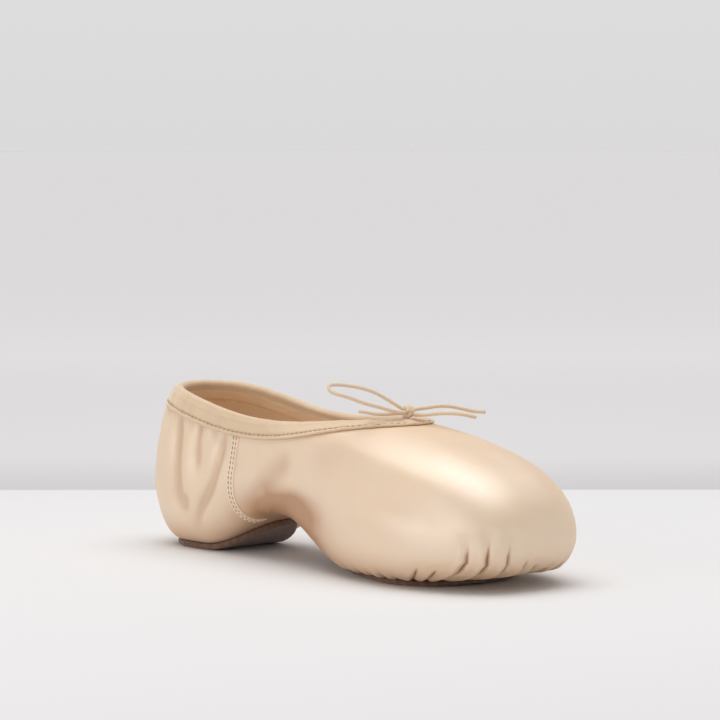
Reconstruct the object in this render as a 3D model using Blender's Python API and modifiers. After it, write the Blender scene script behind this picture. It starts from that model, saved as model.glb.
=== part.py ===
"""A satin pointe shoe with a split sole, standing empty and unbent on its heel pad and forefoot sole.

The upper is one hollow wall lofted through ribs. Each rib runs from the collar's rim, over the
widest line of the last, round to the foot ring where the soles begin, and on to the edge of the
opening that a sole closes. +X points to the toe and +Z up. The origin is on the floor, under the
middle of the shoe's length and width. The shoe is the same left and right, apart from its bow.
"""

import math

import bmesh
import bpy
import numpy as np

# Driving dimensions, in metres.
SHOE_LENGTH = 0.216
VAMP_LENGTH = 0.076
HEEL_HEIGHT = 0.067
SIDE_HEIGHT = 0.056
THROAT_HEIGHT = 0.059
TOE_HEIGHT = 0.040
TOE_SPRING = 0.004
HEEL_WIDTH = 0.053
WAIST_WIDTH = 0.052
BALL_WIDTH = 0.078
PLATFORM_WIDTH = 0.042
COLLAR_WIDTH = 0.045
ARCH_HEIGHT = 0.016
FABRIC_WALL = 0.0016
BOX_WALL = 0.0026
GAP = 0.0003

HEEL_PAD_LENGTH = 0.061
HEEL_PAD_WIDTH = 0.038
HEEL_PAD_SET_IN = 0.009
HEEL_PAD_THICKNESS = 0.0024
SOLE_LENGTH = 0.095
SOLE_WIDTH = 0.058
SOLE_SET_BACK = 0.028
SOLE_THICKNESS = 0.0020
SOLE_EDGE_RADIUS = 0.0006
INSOLE_THICKNESS = 0.0014

BINDING_WIDTH = 0.0085
BINDING_THICKNESS = 0.0008
BINDING_LINING_WIDTH = 0.0075
CASING_RADIUS = 0.0017
SEAM_WIDTH = 0.0042
SEAM_THICKNESS = 0.0005
SEAM_TOP_ROW = 3.50
SEAM_FOOT_ROW = 3.58
SEAM_BOW_ROWS = 0.13
CORD_DIAMETER = 0.0015
CORD_SPACING = 0.0033
KNOT_SET_FORWARD = 0.0020
KNOT_RADIUS = 0.0026

# Where the underside starts to lift, stands highest, is down again and springs up at the toe,
# as shares of the shoe's length from the heel.
ARCH_START, ARCH_PEAK, ARCH_END, TOE_SPRING_START = 0.18, 0.40, 0.635, 0.80

# How finely the shapes are divided.
RIBS_PER_ROW = (3, 3, 5, 5, 5, 5, 3, 3, 3, 3, 3, 3)
UPPER_STEPS = 9
UNDER_STEPS = 5
TUCK_STEPS = 2
FINE_STEPS = 48
SEAM_STEPS = 16
SOLE_POINTS = 48

# Each row is a rib of one side, from the middle of the heel round to the middle of the toe.
# Rim columns: along is a share of the collar's length, out a share of half the collar's width.
# Side columns, the widest line: along is a share of the shoe's length, out a share of half the
# row's own width, up a share of the row's own height. Foot columns, where the soles begin: along is
# a share of the shoe's length, out a share of half the row's own width. Slope says how far the
# outline has dropped towards the widest line when it turns, full and under how square it turns.
COLUMNS = (
    "rim_along", "rim_out", "width", "height", "side_along", "side_out", "side_up",
    "foot_along", "foot_out", "slope", "full", "under",
)
RIBS = (
    (0.074, 0.000, HEEL_WIDTH, HEEL_HEIGHT, 0.000, 0.00, 0.42, 0.052, 0.00, 0.30, 0.60, 0.46),
    (0.112, 0.590, HEEL_WIDTH, HEEL_HEIGHT, 0.031, 0.70, 0.42, 0.068, 0.44, 0.32, 0.60, 0.46),
    (0.205, 0.900, HEEL_WIDTH, HEEL_HEIGHT, 0.110, 1.00, 0.41, 0.124, 0.64, 0.34, 0.60, 0.50),
    (0.355, 1.000, HEEL_WIDTH, HEEL_HEIGHT, 0.235, 1.02, 0.41, 0.236, 0.62, 0.34, 0.60, 0.54),
    (0.560, 0.960, WAIST_WIDTH, HEEL_HEIGHT, 0.396, 1.00, 0.45, 0.396, 0.54, 0.30, 0.60, 0.56),
    (0.727, 0.890, BALL_WIDTH, HEEL_HEIGHT, 0.538, 0.80, 0.40, 0.528, 0.50, 0.26, 0.60, 0.60),
    (0.846, 0.780, BALL_WIDTH, THROAT_HEIGHT, 0.665, 0.95, 0.36, 0.656, 0.64, 0.24, 0.62, 0.64),
    (0.916, 0.620, BALL_WIDTH, TOE_HEIGHT, 0.769, 1.00, 0.49, 0.755, 0.70, 0.24, 0.63, 0.66),
    (0.958, 0.467, BALL_WIDTH, TOE_HEIGHT, 0.863, 0.92, 0.48, 0.840, 0.62, 0.24, 0.65, 0.68),
    (0.982, 0.311, BALL_WIDTH, TOE_HEIGHT, 0.939, 0.75, 0.47, 0.887, 0.43, 0.24, 0.67, 0.70),
    (0.993, 0.196, PLATFORM_WIDTH, TOE_HEIGHT, 0.982, 1.02, 0.47, 0.908, 0.50, 0.24, 0.68, 0.72),
    (0.998, 0.093, PLATFORM_WIDTH, TOE_HEIGHT, 0.998, 0.54, 0.47, 0.916, 0.24, 0.24, 0.69, 0.72),
    (1.000, 0.000, PLATFORM_WIDTH, TOE_HEIGHT, 1.000, 0.00, 0.47, 0.918, 0.00, 0.24, 0.69, 0.72),
)
HALF_ROWS = len(RIBS) - 1

# The outlines of the soles, each row a share of the sole's length and of half its width.
HEEL_PAD_OUTLINE = (
    (0.00, 0.00), (0.04, 0.50), (0.22, 0.91), (0.48, 1.00), (0.76, 0.80), (0.94, 0.42), (1.00, 0.00),
)
SOLE_OUTLINE = (
    (0.00, 0.00), (0.03, 0.27), (0.17, 0.50), (0.36, 0.66), (0.56, 0.89),
    (0.74, 1.00), (0.89, 0.80), (0.975, 0.42), (1.00, 0.00),
)
SOLE_START = SHOE_LENGTH - SOLE_SET_BACK - SOLE_LENGTH
HEEL_PAD_END = HEEL_PAD_SET_IN + HEEL_PAD_LENGTH

# The insole's and the openings' sizes, as shares of the foot ring and of the soles' lengths.
INSOLE_SHARE = 0.96
OPENING_SHARE = 0.62
HEEL_OPENING_SHARE = 0.67
FORE_OPENING_SHARE = 0.15

# The angles, from the outside over the top to the inside, at which the casing's roll is drawn.
CASING_TURNS = (-20, 25, 65, 115, 155, 200)


# The bow's four cords. Each has a heading in degrees from the toe, towards the left, and rows of
# millimetres along that heading, to its left and up, counted from the middle of the knot.
BOW = {
    "bow_loop_right_side": (-110, (
        (2.8, -0.6, 1.4), (7.7, -1.0, 4.4), (13.0, -1.4, 7.4), (19.3, -1.6, 9.6), (27.0, -1.5, 11.0),
        (32.0, -0.9, 11.3), (33.8, 0.2, 10.4), (31.0, 1.2, 8.6), (26.2, 1.6, 6.5), (20.0, 1.6, 4.2),
        (12.3, 1.4, 2.0), (7.7, 1.3, 0.7), (2.9, 1.2, -0.2),
    )),
    "bow_end_right_side": (-139, (
        (3.0, -0.4, -0.8), (7.0, -0.2, -1.1), (10.5, 0.0, -1.2), (14.0, 0.0, -1.0), (17.0, 0.2, -0.4),
        (19.6, 0.4, -0.2),
    )),
    "bow_loop_left_side": (45, (
        (2.9, -1.1, -1.0), (7.1, -2.2, -1.1), (12.8, -2.9, -0.5), (18.5, -3.0, -0.6), (22.9, -2.4, -1.2),
        (26.0, 0.0, -2.1), (23.2, 2.2, -1.5), (18.5, 2.4, -0.9), (12.8, 2.0, -0.8), (7.1, 1.2, -1.4),
        (2.8, 0.9, -1.4),
    )),
    "bow_end_left_side": (63, (
        (3.0, 0.9, 0.6), (7.4, 1.0, 1.1), (13.3, 0.9, 1.7), (17.8, 0.8, 1.4), (22.1, 0.6, 0.5),
        (26.7, 0.4, -0.6), (31.5, 0.3, -1.0),
    )),
}


def ring_controls(rows):
    """The control points of the smooth closed curve that passes through the rows."""
    identity = np.eye(len(rows))
    matrix = 4 * identity + np.roll(identity, 1, axis=0) + np.roll(identity, -1, axis=0)
    return np.linalg.solve(matrix, 6 * np.asarray(rows, float))


def on_ring(rows, at):
    """The smooth closed curve through the rows, read at row numbers that may be fractions."""
    controls = ring_controls(rows)
    first = np.floor(at).astype(int)
    t = (at - first)[:, None]
    weights = ((1 - t) ** 3, 3 * t**3 - 6 * t**2 + 4, -3 * t**3 + 3 * t**2 + 3 * t + 1, t**3)
    total = 0
    for step, weight in enumerate(weights):
        total = total + weight * controls[(first + step - 1) % len(rows)]
    return total / 6


def mirrored(rows, odd_columns):
    """One side's rows, followed by the other side's on the way back, to close a ring."""
    half = np.asarray(rows, float)
    back = half[-2:0:-1].copy()
    back[:, odd_columns] *= -1
    return np.concatenate([half, back])


def smooth_step(x):
    x = np.clip(x, 0, 1)
    return np.sin(0.5 * math.pi * x) ** 2


def arch(x):
    """How far the underside stands off the floor, x metres from the back of the heel."""
    share = x / SHOE_LENGTH
    rising = smooth_step((share - ARCH_START) / (ARCH_PEAK - ARCH_START))
    falling = smooth_step((ARCH_END - share) / (ARCH_END - ARCH_PEAK))
    spring = smooth_step((share - TOE_SPRING_START) / (1 - TOE_SPRING_START))
    return ARCH_HEIGHT * rising * falling + TOE_SPRING * spring


def seat(x):
    """The height of the satin's underside, which the two soles and their gap lift off the floor."""
    share = smooth_step((x - HEEL_PAD_END) / (SOLE_START - HEEL_PAD_END))
    thickness = HEEL_PAD_THICKNESS + (SOLE_THICKNESS - HEEL_PAD_THICKNESS) * share
    return arch(x) + thickness + GAP


def rim_height(share):
    """The collar's height at a share of its length: high behind, low at the waist, up to the throat."""
    dip = 0.62
    behind = SIDE_HEIGHT + (HEEL_HEIGHT - SIDE_HEIGHT) * (1 - smooth_step(share / dip)) ** 1.15
    front = SIDE_HEIGHT + (THROAT_HEIGHT - SIDE_HEIGHT) * smooth_step((share - dip) / (1 - dip))
    return np.where(share < dip, behind, front)


def rib_rows(at):
    """The ribs' points and turns at the given row numbers, as named arrays."""
    ring = mirrored(RIBS, [COLUMNS.index(name) for name in ("rim_out", "side_out", "foot_out")])
    outward = ring[:, [COLUMNS.index("side_out"), COLUMNS.index("foot_out")]]
    half_width = ring[:, COLUMNS.index("width")] / 2
    ring[:, COLUMNS.index("side_out")] = outward[:, 0] * half_width
    ring[:, COLUMNS.index("foot_out")] = outward[:, 1] * half_width
    ring[:, COLUMNS.index("side_up")] *= ring[:, COLUMNS.index("height")]
    read = on_ring(ring, at)
    col = {name: read[:, i] for i, name in enumerate(COLUMNS)}
    rim_x = col["rim_along"] * (SHOE_LENGTH - VAMP_LENGTH)
    rim = np.stack([rim_x, col["rim_out"] * COLLAR_WIDTH / 2, rim_height(col["rim_along"])], axis=1)
    side = np.stack([col["side_along"] * SHOE_LENGTH, col["side_out"], col["side_up"]], axis=1)
    foot_x = col["foot_along"] * SHOE_LENGTH
    foot = np.stack([foot_x, col["foot_out"], seat(foot_x)], axis=1)
    return rim, side, foot, col


def bezier(a, b, c, d, t):
    t = t[None, :, None]
    a, b, c, d = (p[:, None, :] for p in (a, b, c, d))
    return a * (1 - t) ** 3 + 3 * b * t * (1 - t) ** 2 + 3 * c * t**2 * (1 - t) + d * t**3


def middle(foot):
    """The point of the shoe's middle line that each rib's underside runs in to."""
    spine = foot.copy()
    back, front = HEEL_PAD_SET_IN + HEEL_PAD_WIDTH / 2, SOLE_START + SOLE_LENGTH - SOLE_WIDTH / 2
    spine[:, 0] = np.clip(foot[:, 0], back, front)
    spine[:, 1] = 0
    return spine


def opening_edge(foot):
    """The last point of each rib: the edge of the opening under a sole, or the middle under the arch."""
    spine = middle(foot)
    heel_opening_end = HEEL_PAD_SET_IN + HEEL_OPENING_SHARE * HEEL_PAD_LENGTH
    fore_opening_start = SOLE_START + FORE_OPENING_SHARE * SOLE_LENGTH
    is_open = (foot[:, 0] < heel_opening_end) | (foot[:, 0] > fore_opening_start)
    edge = spine + (foot - spine) * np.where(is_open, OPENING_SHARE, 0)[:, None]
    edge[:, 2] = seat(edge[:, 0])
    return edge


def ribs(at, upper_steps, under_steps, tuck_steps):
    """Points of the upper's outer face, indexed [rib, step, xyz], from the rim to the openings."""
    rim, side, foot, col = rib_rows(at)
    turn = side.copy()
    turn[:, 2] = rim[:, 2] - col["slope"] * (rim[:, 2] - side[:, 2])
    full, under = col["full"][:, None], col["under"][:, None]
    upper = bezier(
        rim, rim + full * (turn - rim), side + full * (turn - side), side,
        np.linspace(0, 1, upper_steps + 1),
    )
    corner = side.copy()
    corner[:, 2] = foot[:, 2]
    lower = bezier(
        side, side + under * (corner - side), foot + under * (corner - foot), foot,
        np.linspace(0, 1, under_steps + 1),
    )
    share = np.linspace(0, 1, tuck_steps + 1)[None, :, None]
    edge = opening_edge(foot)
    tuck = foot[:, None, :] * (1 - share) + edge[:, None, :] * share
    tuck[:, :, 2] = seat(tuck[:, :, 0])
    return np.concatenate([upper, lower[:, 1:], tuck[:, 1:]], axis=1)


def wall(x):
    """The upper's wall, thin cloth behind and a stiff box in front, x metres from the heel."""
    front = smooth_step((x - (SHOE_LENGTH - 1.3 * VAMP_LENGTH)) / VAMP_LENGTH)
    return FABRIC_WALL + (BOX_WALL - FABRIC_WALL) * front


def skin(at, down, offset):
    """Points at distances down from the rim along each rib, moved out from the wall by offset."""
    nudge = 0.01
    fine = ribs(at, FINE_STEPS, FINE_STEPS, 1)
    along = ribs(at + nudge, FINE_STEPS, FINE_STEPS, 1) - ribs(at - nudge, FINE_STEPS, FINE_STEPS, 1)
    normal = np.cross(along, np.gradient(fine, axis=1))
    normal /= np.linalg.norm(normal, axis=2, keepdims=True)
    steps = np.linalg.norm(np.diff(fine, axis=1), axis=2)
    length = np.concatenate([np.zeros((len(at), 1)), np.cumsum(steps, axis=1)], axis=1)
    down = np.broadcast_to(down, (len(at), np.shape(down)[-1]))
    offset = np.broadcast_to(offset, down.shape)
    points = np.empty(down.shape + (3,))
    for i in range(len(at)):
        start = (fine[i, 1] - fine[i, 0]) / steps[i, 0]
        above = np.minimum(down[i], 0)
        for axis in range(3):
            place = np.interp(down[i], length[i], fine[i, :, axis]) + above * start[axis]
            direction = np.interp(down[i], length[i], normal[i, :, axis])
            points[i, :, axis] = place + offset[i] * direction
    return points


def material(name, colour, roughness, sheen=0.0):
    made = bpy.data.materials.new(name)
    made.use_nodes = True
    shader = made.node_tree.nodes["Principled BSDF"]
    shader.inputs["Base Color"].default_value = (*colour, 1)
    shader.inputs["Roughness"].default_value = roughness
    shader.inputs["Metallic"].default_value = 0.0
    shader.inputs["Sheen Weight"].default_value = sheen
    return made


def add_object(name, data, finish):
    data.materials.append(finish)
    obj = bpy.data.objects.new(name, data)
    bpy.data.collections["pointe_shoe"].objects.link(obj)
    return obj


def grid_mesh(name, points, wrap_rows=False, wrap_steps=False):
    """A mesh of quads over points indexed [row, step, xyz], set about the shoe's middle."""
    rows, steps = points.shape[:2]
    made = bmesh.new()
    placed = points - np.array([SHOE_LENGTH / 2, 0, 0])
    corners = [[made.verts.new(placed[i, j]) for j in range(steps)] for i in range(rows)]
    for i in range(rows if wrap_rows else rows - 1):
        for j in range(steps if wrap_steps else steps - 1):
            here, there = corners[i], corners[(i + 1) % rows]
            made.faces.new((here[j], here[(j + 1) % steps], there[(j + 1) % steps], there[j]))
    bmesh.ops.remove_doubles(made, verts=made.verts, dist=0.00001)
    bmesh.ops.recalc_face_normals(made, faces=made.faces)
    mesh = bpy.data.meshes.new(name)
    made.to_mesh(mesh)
    made.free()
    mesh.shade_smooth()
    return mesh


def mirror(obj):
    halves = obj.modifiers.new("other side", "MIRROR")
    halves.use_axis = (False, True, False)
    halves.merge_threshold = 0.00005


def rib_places():
    """Row numbers of one side's ribs, which stand closer together under the arch."""
    places = [row + np.arange(count) / count for row, count in enumerate(RIBS_PER_ROW)]
    return np.append(np.concatenate(places), HALF_ROWS)


def all_rib_places():
    """Row numbers of the ribs of both sides, once round the shoe."""
    one_side = rib_places()
    return np.append(one_side, 2 * HALF_ROWS - one_side[-2:0:-1])


def insole_seat(x):
    """The height of the insole's underside, on the sloping inner face of the upper's bottom."""
    step = 0.0005
    slope = (seat(x + step) - seat(x - step)) / (2 * step)
    return seat(x) + wall(x) * np.sqrt(1 + slope**2) + 2 * GAP


def make_upper(satin):
    """The hollow satin upper: one side's open surface, mirrored, then given its wall inwards."""
    at = rib_places()
    points = ribs(at, UPPER_STEPS, UNDER_STEPS, TUCK_STEPS)
    points[[0, -1], :, 1] = 0
    upper = add_object("upper", grid_mesh("upper", points), satin)
    box = upper.vertex_groups.new(name="box")
    for vertex in upper.data.vertices:
        thickness = wall(vertex.co.x + SHOE_LENGTH / 2)
        box.add([vertex.index], float(thickness / BOX_WALL), "REPLACE")
    mirror(upper)
    shell = upper.modifiers.new("wall", "SOLIDIFY")
    shell.thickness = BOX_WALL
    shell.offset = -1
    shell.use_even_offset = True
    shell.vertex_group = box.name
    return upper


def plate(outline, bottom, thickness, radius):
    """A flat piece's rings, indexed [ring point, level, xyz], from its outline and its underside."""
    ahead = np.roll(outline, -1, axis=0) - np.roll(outline, 1, axis=0)
    inward = np.stack([ahead[:, 1], -ahead[:, 0]], axis=1)
    inward /= np.linalg.norm(inward, axis=1, keepdims=True)
    levels = ((radius, 0), (0, radius), (0, thickness - radius), (radius, thickness))
    rings = []
    for inset, up in levels:
        flat = outline + inset * inward
        rings.append(np.column_stack([flat, bottom(flat[:, 0]) + up]))
    return np.stack(rings, axis=1)


def plate_mesh(name, rings):
    """The mesh of a plate: its edge, and strips across it from side to side for its two faces."""
    count, levels = rings.shape[:2]
    made = bmesh.new()
    placed = rings - np.array([SHOE_LENGTH / 2, 0, 0])
    corners = [[made.verts.new(placed[i, j]) for j in range(levels)] for i in range(count)]
    for i in range(count):
        here, there = corners[i], corners[(i + 1) % count]
        for j in range(levels - 1):
            made.faces.new((here[j], here[j + 1], there[j + 1], there[j]))
    for level in (0, levels - 1):
        for i in range(count // 2):
            strip = (i, i + 1, (count - i - 1) % count, (count - i) % count)
            made.faces.new([corners[k][level] for k in dict.fromkeys(strip)])
    bmesh.ops.recalc_face_normals(made, faces=made.faces)
    mesh = bpy.data.meshes.new(name)
    made.to_mesh(mesh)
    made.free()
    mesh.shade_smooth()
    return mesh


def outline_ring(rows, start, length, width):
    """A sole's closed outline in metres, counted from the heel, from its rows of shares."""
    at = np.linspace(0, 2 * (len(rows) - 1), SOLE_POINTS, endpoint=False)
    shares = on_ring(mirrored(rows, [1]), at)
    shares[[0, SOLE_POINTS // 2], 1] = 0
    return np.column_stack([start + shares[:, 0] * length, shares[:, 1] * width / 2])


def make_soles(leather, canvas):
    """The heel pad and the forefoot sole under the upper's two openings, and the insole over them."""
    pad = outline_ring(HEEL_PAD_OUTLINE, HEEL_PAD_SET_IN, HEEL_PAD_LENGTH, HEEL_PAD_WIDTH)
    rings = plate(pad, arch, HEEL_PAD_THICKNESS, SOLE_EDGE_RADIUS)
    add_object("heel_pad", plate_mesh("heel_pad", rings), leather)
    sole = outline_ring(SOLE_OUTLINE, SOLE_START, SOLE_LENGTH, SOLE_WIDTH)
    rings = plate(sole, arch, SOLE_THICKNESS, SOLE_EDGE_RADIUS)
    add_object("forefoot_sole", plate_mesh("forefoot_sole", rings), leather)

    foot = rib_rows(all_rib_places())[2]
    spine = middle(foot)
    inside = (spine + (foot - spine) * INSOLE_SHARE)[:, :2]
    inside[[0, len(inside) // 2], 1] = 0
    rings = plate(inside, insole_seat, INSOLE_THICKNESS, SOLE_EDGE_RADIUS / 2)
    add_object("insole", plate_mesh("insole", rings), canvas)


def make_binding(cotton):
    """The drawstring casing: a band outside the rim, a roll over it and a band down the inside."""
    at = all_rib_places()
    inner = -wall(rib_rows(at)[0][:, 0])
    ends = np.ones_like(inner)
    out_face, in_face = GAP + BINDING_THICKNESS, inner - 1.5 * GAP - BINDING_THICKNESS
    section = [
        (BINDING_WIDTH, GAP * ends), (BINDING_WIDTH, out_face * ends),
        (0.4 * BINDING_WIDTH, out_face * ends),
    ]
    for turn in CASING_TURNS:
        angle = math.radians(turn)
        across = CASING_RADIUS * math.cos(angle)
        section.append((-CASING_RADIUS * math.sin(angle), inner / 2 + across))
    section += [
        (0.4 * BINDING_WIDTH, in_face),
        (BINDING_LINING_WIDTH, in_face), (BINDING_LINING_WIDTH, inner - 1.5 * GAP),
        (-GAP, inner - 1.5 * GAP), (-GAP, GAP * ends), (0.5 * BINDING_WIDTH, GAP * ends),
    ]
    down = np.stack([np.full_like(inner, row[0]) for row in section], axis=1)
    offset = np.stack([row[1] for row in section], axis=1)
    mesh = grid_mesh("collar_binding", skin(at, down, offset), True, True)
    add_object("collar_binding", mesh, cotton)


def make_seams(satin):
    """The raised seam on each side, from the binding down to the front of the heel pad."""
    for side, name in ((1, "side_seam_left"), (-1, "side_seam_right")):
        share = np.linspace(0, 1, SEAM_STEPS + 1)
        bow = SEAM_BOW_ROWS * np.sin(math.pi * share)
        middle_row = SEAM_TOP_ROW + (SEAM_FOOT_ROW - SEAM_TOP_ROW) * share - bow
        if side < 0:
            middle_row = 2 * HALF_ROWS - middle_row
        fine = ribs(middle_row, FINE_STEPS, FINE_STEPS, 1)
        spread = np.linalg.norm(ribs(middle_row + 0.05, FINE_STEPS, FINE_STEPS, 1) - fine, axis=2) / 0.05
        whole = np.linalg.norm(np.diff(fine, axis=1), axis=2)[:, :-1].sum(axis=1)
        top = BINDING_WIDTH + GAP
        down = top + (whole - top) * share
        loop = []
        for across, offset in ((-1, GAP), (-1, GAP + SEAM_THICKNESS), (0, GAP + SEAM_THICKNESS),
                               (1, GAP + SEAM_THICKNESS), (1, GAP), (0, GAP)):
            width_at = np.array([np.interp(s, np.linspace(0, 1, spread.shape[1]), r) for s, r in zip(share, spread)])
            at = middle_row + across * SEAM_WIDTH / 2 / width_at
            points = np.array([skin(at[i:i + 1], np.array([down[i]]), offset)[0, 0] for i in range(len(at))])
            loop.append(points)
        mesh = grid_mesh(name, np.stack(loop, axis=1), False, True)
        capped = bmesh.new()
        capped.from_mesh(mesh)
        bmesh.ops.holes_fill(capped, edges=[e for e in capped.edges if e.is_boundary])
        bmesh.ops.recalc_face_normals(capped, faces=capped.faces)
        capped.to_mesh(mesh)
        capped.free()
        add_object(name, mesh, satin)


def smooth_route(points, spacing):
    """Evenly spaced points on a smooth curve through the given ones."""
    ends = np.vstack([2 * points[0] - points[1], points, 2 * points[-1] - points[-2]])
    t = np.linspace(0, 1, 16, endpoint=False)[:, None]
    pieces = []
    for a, b, c, d in zip(ends, ends[1:], ends[2:], ends[3:]):
        bend = (2 * a - 5 * b + 4 * c - d) * t**2 + (3 * b - a - 3 * c + d) * t**3
        pieces.append((2 * b + (c - a) * t + bend) / 2)
    curve = np.vstack(pieces + [points[-1:]])
    far = np.append(0, np.cumsum(np.linalg.norm(np.diff(curve, axis=0), axis=1)))
    even = np.linspace(0, far[-1], int(round(far[-1] / spacing)) + 1)
    return np.column_stack([np.interp(even, far, curve[:, axis]) for axis in range(3)])


def make_bow(cord):
    """The drawstring's bow, lying over the front of the collar: its knot, two loops and two ends."""
    collar_front = SHOE_LENGTH / 2 - VAMP_LENGTH
    casing_top = THROAT_HEIGHT + GAP + BINDING_THICKNESS
    knot = np.array([collar_front + KNOT_SET_FORWARD, 0, casing_top + GAP + KNOT_RADIUS])
    made = bmesh.new()
    bmesh.ops.create_icosphere(made, subdivisions=2, radius=KNOT_RADIUS)
    bmesh.ops.translate(made, verts=made.verts, vec=knot)
    mesh = bpy.data.meshes.new("bow_knot")
    made.to_mesh(mesh)
    made.free()
    add_object("bow_knot", mesh, cord)

    for name, (heading, rows) in BOW.items():
        angle = math.radians(heading)
        ahead = np.array([math.cos(angle), math.sin(angle), 0])
        leftward = np.array([-math.sin(angle), math.cos(angle), 0])
        offsets = np.array(rows) * 0.001
        route = knot + offsets[:, :1] * ahead + offsets[:, 1:2] * leftward + offsets[:, 2:] * (0, 0, 1)
        points = smooth_route(route, CORD_SPACING)
        curve = bpy.data.curves.new(name, "CURVE")
        curve.dimensions = "3D"
        curve.bevel_depth = CORD_DIAMETER / 2
        curve.bevel_resolution = 2
        curve.use_fill_caps = True
        spline = curve.splines.new("POLY")
        spline.points.add(len(points) - 1)
        for point, place in zip(spline.points, points):
            point.co = (*place, 1)
        add_object(name, curve, cord)


def main():
    for obj in list(bpy.data.objects):
        bpy.data.objects.remove(obj)
    shoe = bpy.data.collections.new("pointe_shoe")
    bpy.context.scene.collection.children.link(shoe)
    satin = material("satin", (0.80, 0.60, 0.42), 0.35, 0.4)
    cotton = material("cotton binding", (0.78, 0.60, 0.42), 0.75)
    leather = material("suede leather", (0.20, 0.11, 0.07), 0.8)
    cord = material("drawstring cord", (0.82, 0.66, 0.50), 0.6)
    canvas = material("lining canvas", (0.55, 0.33, 0.18), 0.85)
    make_upper(satin)
    make_soles(leather, canvas)
    make_binding(cotton)
    make_seams(satin)
    make_bow(cord)


main()
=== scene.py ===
import math

import bmesh
import bpy
import numpy as np
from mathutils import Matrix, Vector


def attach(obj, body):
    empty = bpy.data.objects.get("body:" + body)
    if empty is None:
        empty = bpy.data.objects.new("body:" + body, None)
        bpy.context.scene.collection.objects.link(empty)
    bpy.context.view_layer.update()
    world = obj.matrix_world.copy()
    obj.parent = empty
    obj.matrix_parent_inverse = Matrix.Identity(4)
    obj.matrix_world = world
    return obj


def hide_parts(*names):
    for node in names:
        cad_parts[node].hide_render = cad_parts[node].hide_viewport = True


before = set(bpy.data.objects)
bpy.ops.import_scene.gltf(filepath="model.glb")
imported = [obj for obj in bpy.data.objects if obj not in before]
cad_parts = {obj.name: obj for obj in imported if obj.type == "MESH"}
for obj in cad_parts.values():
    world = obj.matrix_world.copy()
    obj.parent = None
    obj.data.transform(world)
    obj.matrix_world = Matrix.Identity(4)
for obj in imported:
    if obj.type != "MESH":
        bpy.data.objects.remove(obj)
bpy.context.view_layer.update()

# ---- Upper ---------------------------------------------------------------------------------------
# One hollow piece: peach satin outside over a canvas lining, stiffened with paste into a box at the
# toe. It is cut in panels, pulled over a straight last, and pleated by hand under the toe.
SHOE_LENGTH, VAMP_LENGTH = 0.216, 0.076
HEEL_HEIGHT, SIDE_HEIGHT, THROAT_HEIGHT, TOE_HEIGHT = 0.067, 0.056, 0.059, 0.040
TOE_SPRING, ARCH_HEIGHT = 0.004, 0.016
HEEL_WIDTH, WAIST_WIDTH, BALL_WIDTH = 0.053, 0.052, 0.078
PLATFORM_WIDTH, COLLAR_WIDTH = 0.042, 0.045
FABRIC_WALL, BOX_WALL, GAP = 0.0016, 0.0026, 0.0003
HEEL_PAD_LENGTH, HEEL_PAD_WIDTH, HEEL_PAD_SET_IN, HEEL_PAD_THICKNESS = 0.061, 0.038, 0.009, 0.0024
SOLE_LENGTH, SOLE_WIDTH, SOLE_SET_BACK, SOLE_THICKNESS = 0.095, 0.058, 0.028, 0.0020
ARCH_START, ARCH_PEAK, ARCH_END, TOE_SPRING_START = 0.18, 0.40, 0.635, 0.80
SOLE_START = SHOE_LENGTH - SOLE_SET_BACK - SOLE_LENGTH
HEEL_PAD_END = HEEL_PAD_SET_IN + HEEL_PAD_LENGTH
OPENING_SHARE, HEEL_OPENING_SHARE, FORE_OPENING_SHARE = 0.62, 0.67, 0.15
MM = 0.001
MIDDLE = np.array([SHOE_LENGTH / 2, 0, 0])

# Each row is a rib of one side, from the heel's middle round to the toe's middle, in the columns
# that the solids use: where it leaves the rim, where it is widest and where it meets a sole.
COLUMNS = (
    "rim_along", "rim_out", "width", "height", "side_along", "side_out", "side_up",
    "foot_along", "foot_out", "slope", "full", "under",
)
RIBS = (
    (0.074, 0.000, HEEL_WIDTH, HEEL_HEIGHT, 0.000, 0.00, 0.42, 0.052, 0.00, 0.30, 0.60, 0.46),
    (0.112, 0.590, HEEL_WIDTH, HEEL_HEIGHT, 0.031, 0.70, 0.42, 0.068, 0.44, 0.32, 0.60, 0.46),
    (0.205, 0.900, HEEL_WIDTH, HEEL_HEIGHT, 0.110, 1.00, 0.41, 0.124, 0.64, 0.34, 0.60, 0.50),
    (0.355, 1.000, HEEL_WIDTH, HEEL_HEIGHT, 0.235, 1.02, 0.41, 0.236, 0.62, 0.34, 0.60, 0.54),
    (0.560, 0.960, WAIST_WIDTH, HEEL_HEIGHT, 0.396, 1.00, 0.45, 0.396, 0.54, 0.30, 0.60, 0.56),
    (0.727, 0.890, BALL_WIDTH, HEEL_HEIGHT, 0.538, 0.80, 0.40, 0.528, 0.50, 0.26, 0.60, 0.60),
    (0.846, 0.780, BALL_WIDTH, THROAT_HEIGHT, 0.665, 0.95, 0.36, 0.656, 0.64, 0.24, 0.62, 0.64),
    (0.916, 0.620, BALL_WIDTH, TOE_HEIGHT, 0.769, 1.00, 0.49, 0.755, 0.70, 0.24, 0.63, 0.66),
    (0.958, 0.467, BALL_WIDTH, TOE_HEIGHT, 0.863, 0.92, 0.48, 0.840, 0.62, 0.24, 0.65, 0.68),
    (0.982, 0.311, BALL_WIDTH, TOE_HEIGHT, 0.939, 0.75, 0.47, 0.887, 0.43, 0.24, 0.67, 0.70),
    (0.993, 0.196, PLATFORM_WIDTH, TOE_HEIGHT, 0.982, 1.02, 0.47, 0.908, 0.50, 0.24, 0.68, 0.72),
    (0.998, 0.093, PLATFORM_WIDTH, TOE_HEIGHT, 0.998, 0.54, 0.47, 0.916, 0.24, 0.24, 0.69, 0.72),
    (1.000, 0.000, PLATFORM_WIDTH, TOE_HEIGHT, 1.000, 0.00, 0.47, 0.918, 0.00, 0.24, 0.69, 0.72),
)
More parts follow.
